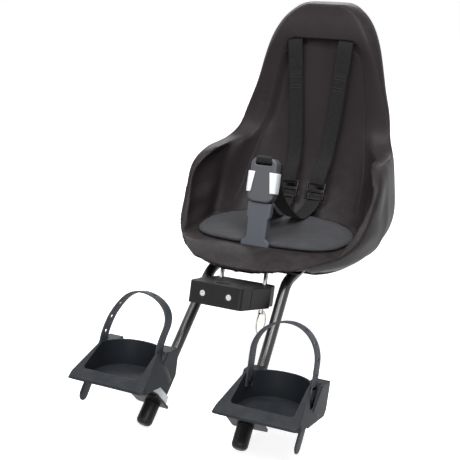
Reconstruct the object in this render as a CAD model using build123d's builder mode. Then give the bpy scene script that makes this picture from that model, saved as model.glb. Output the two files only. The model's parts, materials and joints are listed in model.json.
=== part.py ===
from build123d import *
import math
import os

# Kids seat that hangs on the handlebar stem of a bicycle.
# Frame: millimetres, +Z up, -Y is the riding direction and the way the child faces, +X is the child's left.
# The origin is the centre of the stem clamp's bore.

# Stem clamp
head_tilt = 18.0
bore_radius = 11.1
liner_wall = 2.0
block_height = 31.0
cap_front = -26.0
cap_front_half = 40.0
split_gap = 1.6
block_widest_half = 53.0
block_widest_at = 52.0
block_step = 9.0
block_rear = 86.0
block_rear_half = 47.0
block_corner = 5.0
block_edge = 1.5
bolt_spread = 20.0
bolt_radius = 2.5
bolt_head_radius = 4.25
bolt_head_length = 5.0
bolt_socket_radius = 2.2
bolt_recess = 6.5
bolt_socket_depth = 3.0
bolt_tip = 2.0
nut_flats = 8.0
nut_thickness = 4.0
nut_at = 15.0
nut_clearance = 0.15
bolt_clearance = 0.3

# Plug-in pins, spring wires and the lock pin
pin_spread = 35.0
pin_at = 70.0
pin_radius = 3.0
pin_clearance = 0.35
pin_foot = -11.0
wire_radius = 1.1
wire_gap = 7.0
wire_wave = 1.5
wire_foot = -8.0
lock_radius = 3.0
lock_collar_radius = 5.0
lock_collar_length = 5.0
lock_drop = 13.0
lock_gap = 0.5
eye_radius = 2.0
ring_radius = 17.5
ring_wire = 1.1
ring_gap = 0.2

# Legs
tube_radius = 8.0
tube_wall = 1.5
leg_foot = (73.3, -97.0, -162.0)
leg_knee = (62.0, 90.0)
leg_rear = 205.0
knee_radius = 40.0
tube_seat = 0.6
cap_radius = 11.5
cap_length = 34.0
cap_overlap = 20.0
cap_round = 7.0

# Bracket plate under the pan
plate_bottom = 2.0
plate_thickness = 3.0
plate_half = 78.0
plate_front = 70.0
plate_corner = 12.0
screw_spread = 40.0
screw_front = 112.0
screw_pitch = 70.0
screw_radius = 2.5
screw_length = 8.0
screw_head_radius = 5.0
screw_head_height = 3.0

# Seat shell
crest_height = 364.0
floor_height = 21.0
floor_half = 129.0
floor_start = 190.0
floor_rear = 292.0
pocket_half = 92.0
pocket_front = 62.0
pocket_rear = 236.0
slot_spread = 44.0
slot_height = 301.0
slot_width = 30.0
slot_gap = 7.0

# Seat pad
pad_half = 124.0
pad_front = 112.0
pad_widest = 186.0
pad_rear = 284.0
pad_thickness = 11.0
pad_gap = 0.3
pad_edge = 4.0

# Harness
web_width = 25.0
web_thickness = 1.8
web_clearance = 0.4
web_play = 1.3
web_side_play = 2.2
web_end_play = 1.8
strap_stand = 8.0
strap_turn = 4.0
strap_tail = 3.5
anchor_half = 66.0
anchor_height = 14.0
anchor_thickness = 4.0
adjuster_spread = 24.0
adjuster_middle = (316.0, 66.0)
adjuster_slope = 30.6
adjuster_width = 34.0
adjuster_height = 30.0
adjuster_thickness = 7.0
adjuster_pocket = 8.0
adjuster_window = 4.0
loop_spread = 14.0
loop_turn = 14.0
loop_low = 232.0
stalk_at = 114.0
stalk_lean = 18.0
stalk_half = 19.0
stalk_waist_half = 16.0
stalk_base_half = 23.0
stalk_thickness = 13.0
stalk_length = 84.0
stalk_base_length = 14.0
stalk_step = 52.0
stalk_step_length = 6.0
stalk_edge = 2.0
buckle_half = 21.0
buckle_length = 68.0
buckle_thickness = 20.0
buckle_round = 12.0
buckle_edge = 3.0
buckle_gap = 0.3
buckle_slot_width = 27.0
buckle_slot_height = 6.0
buckle_slot_from_top = 9.0
button_length = 31.0
button_depth = 13.0
button_thickness = 6.0
button_proud = 3.0
button_travel = 2.0
button_clearance = 0.35
button_low = 15.0

# Foot trays
tray_centre = 113.0
tray_at = -92.0
tray_floor = -112.0
tray_toe = 13.0
skirt_half = 62.0
skirt_shift = 2.0
skirt_front = 55.0
skirt_heel = 57.0
skirt_corner = 9.0
skirt_edge = 2.5
cup_half = 44.5
cup_front = 37.0
cup_heel = 53.0
cup_front_corner = 6.0
cup_heel_corner = 42.0
tray_wall = 3.0
tray_height = 41.0
tray_lip = 13.0
tray_rise_from = 8.0
sleeve_half = 11.5
sleeve_behind = 13.5
sleeve_ahead = 40.0
sleeve_length = 100.0
sleeve_clearance = 0.4
sleeve_corner = 4.0
sleeve_gap = 0.3
channel_shift = 2.0
channel_drop = 7.0
channel_rear = 57.5
channel_slot = 7.5
foot_strap_width = 20.0
foot_strap_thickness = 2.4
foot_strap_clearance = 0.4
foot_strap_at = -64.0
foot_strap_height = -82.0
foot_strap_rise = 81.0
foot_strap_lean = 20.0
foot_strap_tail = 87.0
foot_strap_tail_lean = 46.0
foot_strap_root = -14.0
stud_radius = 3.0
stud_head_radius = 5.0
stud_head = 2.0
stud_low = 14.0
stud_in = -5.0
strap_holes = 6
strap_hole_start = 18.0
strap_hole_pitch = 21.0
strap_hole_radius = 4.5
lock_width = 50.0
lock_height = 11.0
lock_thickness = 5.0
lock_depth = 1.5
lock_rise = 3.0
lock_clearance = 0.3
lock_edge = 2.0
plate_inboard = 22.0
plate_outboard = 30.0
plate_ahead = 34.0
plate_behind = 12.0
lock_plate_thickness = 3.0

# Outer skin rows: height, half width, front, where it is widest, rear
outer_rows = [
    (-62, 88, 226, 327, 394),
    (-50, 108, 188, 325, 404),
    (-25, 138, 116, 318, 420),
    (0, 156, 58, 312, 430),
    (30, 166, 30, 308, 437),
    (75, 166, 56, 305, 439),
    (120, 163, 92, 298, 436),
    (150, 147, 196, 338, 431),
    (187, 132, 310, 378, 428),
    (220, 121, 346, 390, 429),
    (281, 106, 360, 403, 435),
    (328, 87, 372, 416, 443),
    (350, 68, 384, 424, 446),
    (crest_height, 38, 397, 428, 446)]

# Inner hollow rows: height, half width, where the side ends, rear
hollow_rows = [
    (floor_height, floor_half, floor_start, floor_rear),
    (45, 131, 200, 318),
    (80, 133, 215, 345),
    (115, 132, 238, 363),
    (140, 125, 280, 372),
    (165, 113, 335, 379),
    (217, 97, 370, 388),
    (270, 84, 378, 393),
    (292, 74, 380, 394),
    (308, 52, 381, 395)]

# Rim seen from the side, from the crest down to the front lip
rim_line = [
    (404, 372), (396, 345), (384, 310), (383, 280), (378, 217), (362, 164), (338, 143), (305, 138),
    (256, 137), (229, 124), (200, 88), (167, 48), (130, 26), (95, 19), (50, 13)]

hollow_open = -60.0
rim_clear = 420.0
front_power = 2.2
rear_power = 2.6
hollow_power = 2.8
sides = (("left", 1), ("right", -1))
os.makedirs("parts", exist_ok=True)


def save(builder, name):
    builder.part.label = name
    export_step(builder.part, "parts/" + name + ".step")


def rounded(value, power):
    return math.copysign(abs(value) ** (2 / power), value)


def oval(half, front, widest, rear, count=12):
    points = []
    for step in range(count):
        turn = 2 * math.pi * step / count
        across, along = math.cos(turn), math.sin(turn)
        power = rear_power if along >= 0 else front_power
        reach = rear - widest if along >= 0 else widest - front
        points.append((half * rounded(across, power), widest + reach * rounded(along, power)))
    return points


def hollow_back(half, start, rear, count=8):
    points = []
    for step in range(count + 1):
        turn = math.pi * step / count
        points.append((half * rounded(math.cos(turn), hollow_power),
                       start + (rear - start) * rounded(math.sin(turn), hollow_power)))
    return points


tilt_sine = math.sin(math.radians(head_tilt))
tilt_cosine = math.cos(math.radians(head_tilt))
stem_up = (0, tilt_sine, tilt_cosine)
stem = Plane(origin=(0, 0, 0), x_dir=(1, 0, 0), z_dir=stem_up)


def stem_level(height):
    return stem.offset(height)


def stem_point(x, back, up):
    return (x, back * tilt_cosine + up * tilt_sine, up * tilt_cosine - back * tilt_sine)


def stem_front(back):
    return Plane(origin=stem_point(0, back, 0), x_dir=(1, 0, 0), z_dir=(0, -tilt_cosine, tilt_sine))


# Clamp cap and block
half_height = block_height / 2
housing_radius = bore_radius + liner_wall
side_slope = (block_widest_half - cap_front_half) / (block_widest_at - cap_front)
cap_back_half = cap_front_half + side_slope * (-split_gap / 2 - cap_front)
block_front_half = cap_front_half + side_slope * (split_gap / 2 - cap_front)

with BuildPart() as clamp_cap:
    with BuildSketch(stem_level(-half_height)):
        with BuildLine():
            Polyline((-cap_front_half, cap_front), (cap_front_half, cap_front), (cap_back_half, -split_gap / 2),
                     (-cap_back_half, -split_gap / 2), close=True)
        make_face()
        fillet(vertices().group_by(Axis.Y)[0], block_corner)
    extrude(amount=block_height)
    with BuildSketch(stem_level(-half_height)):
        Circle(housing_radius)
    extrude(amount=block_height, mode=Mode.SUBTRACT)
    with BuildSketch(stem_front(cap_front)):
        with Locations((-bolt_spread, 0), (bolt_spread, 0)):
            Circle(bolt_head_radius + bolt_clearance)
    extrude(amount=-bolt_recess, mode=Mode.SUBTRACT)
    with BuildSketch(stem_front(cap_front)):
        with Locations((-bolt_spread, 0), (bolt_spread, 0)):
            Circle(bolt_radius + bolt_clearance)
    extrude(amount=cap_front, mode=Mode.SUBTRACT)
save(clamp_cap, "clamp_cap")

nut_slot_flats = nut_flats + 2 * nut_clearance
nut_slot_depth = nut_thickness + 2 * nut_clearance
bolt_reach = nut_at + nut_thickness / 2 + bolt_tip
with BuildPart() as clamp_block:
    with BuildSketch(stem_level(-half_height)):
        with BuildLine():
            Polyline((-block_front_half, split_gap / 2), (block_front_half, split_gap / 2),
                     (block_widest_half, block_widest_at), (block_rear_half, block_widest_at + block_step),
                     (block_rear_half, block_rear), (-block_rear_half, block_rear),
                     (-block_rear_half, block_widest_at + block_step), (-block_widest_half, block_widest_at), close=True)
        make_face()
        fillet(vertices().group_by(Axis.Y)[-1], block_corner)
    extrude(amount=block_height)
    chamfer(faces().sort_by(Axis((0, 0, 0), stem_up))[-1].edges().filter_by(GeomType.LINE), block_edge)
    with BuildSketch(stem_level(-half_height)):
        Circle(housing_radius)
        with Locations((-pin_spread, pin_at), (pin_spread, pin_at)):
            Circle(pin_radius + pin_clearance)
        with Locations((-pin_spread, pin_at + wire_gap), (pin_spread, pin_at + wire_gap)):
            SlotCenterToCenter(2 * wire_wave + 0.01, 2 * (wire_radius + pin_clearance), rotation=90)
    extrude(amount=block_height, mode=Mode.SUBTRACT)
    with BuildSketch(stem_front(0)):
        with Locations((-bolt_spread, 0), (bolt_spread, 0)):
            Circle(bolt_radius + bolt_clearance)
    extrude(amount=-bolt_reach - bolt_clearance, mode=Mode.SUBTRACT)
    with BuildSketch(stem_level(-half_height)):
        with Locations((-bolt_spread, nut_at), (bolt_spread, nut_at)):
            Rectangle(nut_slot_flats, nut_slot_depth)
    extrude(amount=half_height + nut_slot_flats / 2, mode=Mode.SUBTRACT)
save(clamp_block, "clamp_block")

with BuildPart() as stem_liner:
    with BuildSketch(stem_level(-half_height)):
        Circle(housing_radius)
        Circle(bore_radius, mode=Mode.SUBTRACT)
        with Locations((housing_radius, 0), (-housing_radius, 0)):
            Rectangle(4 * liner_wall, split_gap, mode=Mode.SUBTRACT)
    extrude(amount=block_height)
save(stem_liner, "stem_liner")

with BuildPart() as clamp_bolts:
    with BuildSketch(stem_front(cap_front + bolt_recess)):
        with Locations((-bolt_spread, 0), (bolt_spread, 0)):
            Circle(bolt_head_radius)
    extrude(amount=bolt_head_length)
    with BuildSketch(stem_front(cap_front + bolt_recess)):
        with Locations((-bolt_spread, 0), (bolt_spread, 0)):
            Circle(bolt_radius)
    extrude(amount=cap_front + bolt_recess - bolt_reach)
    with BuildSketch(stem_front(cap_front + bolt_recess - bolt_head_length)):
        with Locations((-bolt_spread, 0), (bolt_spread, 0)):
            RegularPolygon(bolt_socket_radius, 6)
    extrude(amount=-bolt_socket_depth, mode=Mode.SUBTRACT)
save(clamp_bolts, "clamp_bolts")

with BuildPart() as clamp_nuts:
    with BuildSketch(stem_front(nut_at - nut_thickness / 2)):
        with Locations((-bolt_spread, 0), (bolt_spread, 0)):
            Rectangle(nut_flats, nut_flats)
            Circle(bolt_radius, mode=Mode.SUBTRACT)
    extrude(amount=-nut_thickness)
save(clamp_nuts, "clamp_nuts")

# Plated pins that plug into the block, and the wavy spring wire behind each of them
pin_length = (plate_bottom + pin_at * tilt_sine) / tilt_cosine - pin_foot
wire_length = (plate_bottom + (pin_at + wire_gap) * tilt_sine) / tilt_cosine - wire_foot
for name, side in sides:
    with BuildPart() as fork_pin:
        with BuildSketch(stem_level(pin_foot)):
            with Locations((side * pin_spread, pin_at)):
                Circle(pin_radius)
        extrude(amount=pin_length + pin_radius)
        chamfer(faces().sort_by(Axis((0, 0, 0), stem_up))[0].edges(), pin_radius / 3)
        split(bisect_by=Plane.XY.offset(plate_bottom), keep=Keep.BOTTOM)
    save(fork_pin, "fork_pin_" + name)

    with BuildPart() as spring_wire:
        wire_base = Plane(origin=stem_point(side * pin_spread, pin_at + wire_gap, wire_foot), x_dir=(1, 0, 0),
                          z_dir=stem_up)
        wire_side = Plane(origin=wire_base.origin, x_dir=wire_base.y_dir, z_dir=(1, 0, 0))
        with BuildLine(wire_side) as wave:
            straight = wire_length / 3
            step = wire_length / 6
            Polyline((0, 0), (0, straight), (wire_wave, straight + step), (-wire_wave, straight + 2 * step),
                     (0, straight + 3 * step), (0, wire_length + wire_radius))
            fillet(vertices().sort_by(Axis.Z)[1:-1], 3 * wire_radius)
        with BuildSketch(wire_base):
            Circle(wire_radius)
        sweep(path=wave.line)
        split(bisect_by=Plane.XY.offset(plate_bottom), keep=Keep.BOTTOM)
    save(spring_wire, "spring_wire_" + name)

# Lock pin under the block, in line with the left pin, and its pull ring
lock_foot = -half_height - lock_drop
lock_top = pin_foot - lock_gap
with BuildPart() as lock_pin:
    with BuildSketch(stem_level(lock_foot)):
        with Locations((pin_spread, pin_at)):
            Circle(lock_radius)
    extrude(amount=lock_top - lock_foot)
    with BuildSketch(stem_level(lock_foot)):
        with Locations((pin_spread, pin_at)):
            Circle(lock_collar_radius)
    extrude(amount=lock_collar_length)
    eye_point = stem_point(pin_spread, pin_at, lock_foot + lock_collar_length / 2)
    with BuildSketch(Plane(origin=eye_point, x_dir=(1, 0, 0), z_dir=(0, -1, 0))):
        Circle(eye_radius)
    extrude(amount=2 * lock_collar_radius, both=True, mode=Mode.SUBTRACT)
save(lock_pin, "lock_pin")

ring_centre = (eye_point[0], eye_point[1], eye_point[2] - ring_radius + eye_radius - ring_wire - ring_gap)
with BuildPart() as pull_ring:
    with BuildSketch(Plane(origin=ring_centre, x_dir=(1, 0, 0), z_dir=(0, -1, 0))):
        with Locations((0, ring_radius)):
            Circle(ring_wire)
    revolve(axis=Axis(ring_centre, (1, 0, 0)))
save(pull_ring, "pull_ring")

# Bracket plate under the pan, and its screws
plate_top = plate_bottom + plate_thickness
tube_height = plate_bottom - tube_radius + tube_seat
screw_spots = [(side * screw_spread, screw_front + row * screw_pitch) for row in (0, 1) for side in (1, -1)]
with BuildPart() as under_bracket:
    with BuildSketch(Plane.XY.offset(plate_bottom)):
        with Locations((0, (plate_front + leg_rear) / 2)):
            RectangleRounded(2 * plate_half, leg_rear - plate_front, plate_corner)
        with Locations(*screw_spots):
            Circle(screw_radius, mode=Mode.SUBTRACT)
    extrude(amount=plate_thickness)
    with BuildSketch(Plane.XZ.offset(-leg_rear)):
        with Locations((leg_knee[0], tube_height), (-leg_knee[0], tube_height)):
            Circle(tube_radius)
    extrude(amount=leg_rear - leg_knee[1], mode=Mode.SUBTRACT)
save(under_bracket, "under_bracket")

with BuildPart() as bracket_screws:
    with BuildSketch(Plane.XY.offset(plate_bottom - screw_head_height)):
        with Locations(*screw_spots):
            Circle(screw_head_radius)
    extrude(amount=screw_head_height)
    chamfer(faces().sort_by(Axis.Z)[:4].edges(), screw_head_height / 2)
    with BuildSketch(Plane.XY.offset(plate_bottom)):
        with Locations(*screw_spots):
            Circle(screw_radius)
    extrude(amount=plate_thickness + screw_length)
save(bracket_screws, "bracket_screws")

# Leg tubes and their end caps
for name, side in sides:
    foot = (side * leg_foot[0], leg_foot[1], leg_foot[2])
    knee = (side * leg_knee[0], leg_knee[1], tube_height)
    tail = (side * leg_knee[0], leg_rear, tube_height)
    with BuildPart() as leg:
        with BuildLine() as leg_line:
            FilletPolyline(foot, knee, tail, radius=knee_radius)
        leg_start = Plane(origin=foot, z_dir=leg_line.line % 0)
        with BuildSketch(leg_start):
            Circle(tube_radius)
            Circle(tube_radius - tube_wall, mode=Mode.SUBTRACT)
        sweep(path=leg_line.line)
    save(leg, "leg_" + name)

    with BuildPart() as leg_cap:
        with BuildSketch(leg_start.offset(cap_overlap)):
            Circle(cap_radius)
        extrude(amount=-cap_length)
        fillet(faces().sort_by(Axis((0, 0, 0), leg_start.z_dir))[0].edges(), cap_round)
        with BuildSketch(leg_start):
            Circle(tube_radius)
        extrude(amount=cap_overlap, mode=Mode.SUBTRACT)
    save(leg_cap, "leg_cap_" + name)

# Seat shell: outer skin, trimmed along the rim, hollowed, with a pocket below and slots for the straps
with BuildPart() as hollow:
    for height, half, start, rear in hollow_rows:
        with BuildSketch(Plane.XY.offset(height)):
            with BuildLine():
                Spline(*hollow_back(half, start, rear), tangents=[(0, 1), (0, -1)])
                Polyline((-half, start), (-half, hollow_open), (half, hollow_open), (half, start))
            make_face()
    loft()

with BuildPart() as seat_shell:
    for height, half, front, widest, rear in outer_rows:
        with BuildSketch(Plane.XY.offset(height)):
            with BuildLine():
                Spline(*oval(half, front, widest, rear), periodic=True)
            make_face()
    loft()
    with BuildSketch(Plane.YZ):
        with BuildLine():
            Spline(*rim_line)
            Polyline(rim_line[-1], (hollow_open, rim_line[-1][1]), (hollow_open, rim_clear),
                     (rim_line[0][0], rim_clear), rim_line[0])
        make_face()
    extrude(amount=2 * floor_half, both=True, mode=Mode.SUBTRACT)
    add(hollow.part, mode=Mode.SUBTRACT)
    with BuildSketch(Plane.XY.offset(plate_top)):
        with Locations((0, (pocket_front + pocket_rear) / 2)):
            RectangleRounded(2 * pocket_half, pocket_rear - pocket_front, plate_corner)
    extrude(amount=-rim_clear, mode=Mode.SUBTRACT)
    with BuildSketch(Plane.XZ):
        with Locations((slot_spread, slot_height), (-slot_spread, slot_height)):
            SlotOverall(slot_width, slot_gap)
    extrude(amount=-2 * rim_clear, mode=Mode.SUBTRACT)
    with BuildSketch(Plane.XY.offset(plate_top)):
        with Locations(*screw_spots):
            Circle(screw_radius)
    extrude(amount=screw_length, mode=Mode.SUBTRACT)
save(seat_shell, "seat_shell")

# Seat pad, with a notch at the front for the stalk
lean_sine = math.sin(math.radians(stalk_lean))
lean_cosine = math.cos(math.radians(stalk_lean))
pad_bottom = floor_height + pad_gap
pad_top = pad_bottom + pad_thickness
notch_half = stalk_base_half + web_clearance
notch_rear = stalk_at + stalk_thickness / 2 / lean_cosine + (pad_top - floor_height) * lean_sine / lean_cosine
with BuildPart() as seat_pad:
    with BuildSketch(Plane.XY.offset(pad_bottom)):
        with BuildLine():
            Spline(*oval(pad_half, pad_front, pad_widest, pad_rear), periodic=True)
        make_face()
    extrude(amount=pad_thickness)
    fillet(faces().sort_by(Axis.Z)[-1].edges(), pad_edge)
    with BuildSketch(Plane.XY.offset(pad_bottom)):
        with Locations((0, notch_rear + web_clearance - pad_front)):
            RectangleRounded(2 * notch_half, 2 * pad_front, pad_edge)
    extrude(amount=pad_thickness, mode=Mode.SUBTRACT)
save(seat_pad, "seat_pad")

# Moulded stalk and the buckle on it, both leaning back
stalk_up = (0, lean_sine, lean_cosine)


def stalk_point(rise, out):
    return (0, stalk_at + rise * lean_sine - out * lean_cosine, floor_height + rise * lean_cosine + out * lean_sine)


def stalk_front(rise, out):
    return Plane(origin=stalk_point(rise, out), x_dir=(1, 0, 0), z_dir=(0, -lean_cosine, lean_sine))


with BuildPart() as crotch_stalk:
    with BuildSketch(stalk_front(0, -stalk_thickness / 2)):
        with BuildLine():
            outline = Polyline((0, -stalk_thickness), (stalk_base_half, -stalk_thickness),
                               (stalk_base_half, stalk_base_length / 2), (stalk_waist_half, stalk_base_length),
                               (stalk_waist_half, stalk_step), (stalk_half, stalk_step + stalk_step_length),
                               (stalk_half, stalk_length), (0, stalk_length))
            mirror(outline, about=Plane.YZ)
        make_face()
    extrude(amount=stalk_thickness)
    fillet(edges().filter_by(Axis((0, 0, 0), stalk_up)), stalk_edge)
    split(bisect_by=Plane.XY.offset(floor_height), keep=Keep.TOP)
save(crotch_stalk, "crotch_stalk")

buckle_low = stalk_length + buckle_gap
buckle_middle = buckle_low + buckle_length / 2
button_middle = buckle_low + button_low + button_length / 2
slot_middle = buckle_low + buckle_length - buckle_slot_from_top
pocket_floor = buckle_half + button_proud - button_thickness - button_travel - button_clearance
with BuildPart() as buckle_body:
    with BuildSketch(stalk_front(buckle_middle, -buckle_thickness / 2)):
        Rectangle(2 * buckle_half, buckle_length)
        fillet(vertices().group_by(Axis.Z)[-1], buckle_round)
    extrude(amount=buckle_thickness)
    fillet(faces().sort_by(Axis((0, 0, 0), stalk_front(0, 0).z_dir))[-1].edges(), buckle_edge)
    with BuildSketch(stalk_front(slot_middle, 0)):
        SlotOverall(buckle_slot_width, buckle_slot_height)
    extrude(amount=buckle_thickness, both=True, mode=Mode.SUBTRACT)
    with BuildSketch(stalk_front(button_middle, 0)):
        with Locations((buckle_half, 0), (-buckle_half, 0)):
            Rectangle(2 * (buckle_half - pocket_floor), button_length + 2 * button_clearance)
    extrude(amount=button_depth / 2 + button_clearance, both=True, mode=Mode.SUBTRACT)
save(buckle_body, "buckle_body")

for name, side in sides:
    with BuildPart() as buckle_button:
        with BuildSketch(stalk_front(button_middle, 0)):
            with Locations((side * (buckle_half + button_proud - button_thickness / 2), 0)):
                Rectangle(button_thickness, button_length)
        extrude(amount=button_depth / 2, both=True)
        fillet(faces().sort_by(Axis.X)[-1 if side > 0 else 0].edges(), button_proud * 0.6)
    save(buckle_button, "buckle_button_" + name)

# Harness: shoulder straps, adjusters, loop straps and the bar behind the shell
slope_sine = math.sin(math.radians(adjuster_slope))
slope_cosine = math.cos(math.radians(adjuster_slope))


def along_adjuster(rise):
    return (adjuster_middle[0] + rise * slope_sine, adjuster_middle[1] + rise * slope_cosine)


with BuildPart() as back_strip:
    with BuildSketch(Plane.XZ.offset(-floor_rear)):
        with Locations((0, slot_height)):
            Rectangle(2 * anchor_half, anchor_height)
    extrude(amount=-rim_clear)
    add(seat_shell.part, mode=Mode.INTERSECT)

anchor_front = back_strip.part.bounding_box().max.Y + web_clearance
strap_rear = anchor_front + anchor_thickness + strap_tail
strap_end = adjuster_height / 2 - adjuster_pocket + web_end_play
back_line = [(row[3] - strap_stand, row[0]) for row in (hollow_rows[6], hollow_rows[5], hollow_rows[3])]
shoulder_line = [(strap_rear, slot_height), (hollow_rows[8][3] - strap_stand, slot_height), *back_line,
                 along_adjuster(adjuster_height), along_adjuster(strap_end)]
strap_lean = math.atan2(slot_spread - adjuster_spread, slot_height - adjuster_middle[1])
loop_start = along_adjuster(-strap_end)
loop_bend = along_adjuster(-adjuster_height)
web_low = pad_top + web_clearance + web_thickness / 2
behind = buckle_thickness / 2 + web_play + web_thickness / 2
loop_up = stalk_point(buckle_low + button_low, -behind)
loop_end = stalk_point(slot_middle + buckle_slot_height / 2, -behind)
loop_line = [loop_start, loop_bend, (loop_bend[0] - 2 * loop_turn, web_low), (loop_low, web_low),
             (loop_up[1], loop_up[2]), (loop_end[1], loop_end[2])]
loop_skew = math.atan2(adjuster_spread - loop_spread, loop_start[0] - loop_end[1])
for name, side in sides:
    strap_plane = Plane(origin=(side * slot_spread, 0, slot_height), x_dir=(0, 1, 0),
                        z_dir=(math.cos(strap_lean), 0, -side * math.sin(strap_lean)))
    with BuildPart() as shoulder_strap:
        with BuildSketch(strap_plane):
            with BuildLine():
                FilletPolyline(*[(y, (z - slot_height) / math.cos(strap_lean)) for y, z in shoulder_line],
                               radius=strap_turn)
            trace(line_width=web_thickness)
        extrude(amount=web_width / 2, both=True)
    save(shoulder_strap, "shoulder_strap_" + name)

    with BuildPart() as strap_adjuster:
        adjuster_plane = Plane(origin=(side * adjuster_spread, adjuster_middle[0], adjuster_middle[1]),
                               x_dir=(1, 0, 0), z_dir=(0, -slope_cosine, slope_sine))
        with BuildSketch(adjuster_plane):
            RectangleRounded(adjuster_width, adjuster_height, strap_turn)
            with Locations((0, adjuster_window), (0, -adjuster_window)):
                Rectangle(web_width, adjuster_window, mode=Mode.SUBTRACT)
        extrude(amount=adjuster_thickness / 2, both=True)
        with BuildSketch(adjuster_plane):
            with Locations((0, adjuster_height / 2), (0, -adjuster_height / 2)):
                Rectangle(web_width + 2 * web_side_play, 2 * adjuster_pocket)
        extrude(amount=web_thickness / 2 + web_play, both=True, mode=Mode.SUBTRACT)
    save(strap_adjuster, "strap_adjuster_" + name)

    loop_plane = Plane(origin=(side * loop_spread, loop_end[1], 0),
                       x_dir=(side * math.sin(loop_skew), math.cos(loop_skew), 0),
                       z_dir=(math.cos(loop_skew), -side * math.sin(loop_skew), 0))
    with BuildPart() as loop_strap:
        with BuildSketch(loop_plane):
            with BuildLine():
                FilletPolyline(*[((y - loop_end[1]) / math.cos(loop_skew), z) for y, z in loop_line],
                               radius=loop_turn)
            trace(line_width=web_thickness)
        extrude(amount=web_width / 2, both=True)
    save(loop_strap, "loop_strap_" + name)

with BuildPart() as strap_anchor:
    with BuildSketch(Plane.XZ.offset(-anchor_front)):
        with Locations((0, slot_height)):
            RectangleRounded(2 * anchor_half, anchor_height, strap_turn)
        with Locations((slot_spread, slot_height), (-slot_spread, slot_height)):
            Rectangle(web_width + 2 * web_side_play, web_thickness + 2 * web_play, mode=Mode.SUBTRACT)
    extrude(amount=-anchor_thickness)
save(strap_anchor, "strap_anchor")

# Foot trays with a channel on each side, foot straps, studs, tray locks and lock plates
toe_sine = math.sin(math.radians(tray_toe))
toe_cosine = math.cos(math.radians(tray_toe))
strap_sine = math.sin(math.radians(foot_strap_lean))
strap_cosine = math.cos(math.radians(foot_strap_lean))
tail_sine = math.sin(math.radians(foot_strap_tail_lean))
tail_cosine = math.cos(math.radians(foot_strap_tail_lean))
leg_vector = Vector(leg_knee[0], leg_knee[1], tube_height) - Vector(*leg_foot)
leg_up = leg_vector.normalized()
plate_foot = cap_overlap + sleeve_gap
sleeve_foot = plate_foot + lock_plate_thickness
sleeve_depth = sleeve_ahead + sleeve_behind
rim_half = cup_half + tray_wall
strap_out = rim_half + foot_strap_clearance + foot_strap_thickness / 2
strap_in = cup_half - foot_strap_clearance - foot_strap_thickness / 2
strap_radius = (strap_out + strap_in) / 2
strap_straight = foot_strap_rise - strap_radius
strap_slot = foot_strap_width + 4 * foot_strap_clearance
stud_reach = foot_strap_thickness + 2 * foot_strap_clearance


def sleeve_plane(side, outer, rise):
    base = Vector(*leg_foot) + leg_up * rise
    across = 2 * (tray_centre + channel_shift) - base.X if outer else base.X
    slope = -leg_up.X if outer else leg_up.X
    return Plane(origin=(side * across, base.Y, base.Z), x_dir=(1, 0, 0), z_dir=(side * slope, leg_up.Y, leg_up.Z))


def tray_outline(half, front, heel, front_corner, heel_corner):
    with Locations((0, (heel - front) / 2)):
        Rectangle(2 * half, front + heel)
    fillet(vertices().group_by(Axis.Y)[0], front_corner)
    fillet(vertices().group_by(Axis.Y)[-1], heel_corner)


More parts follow.
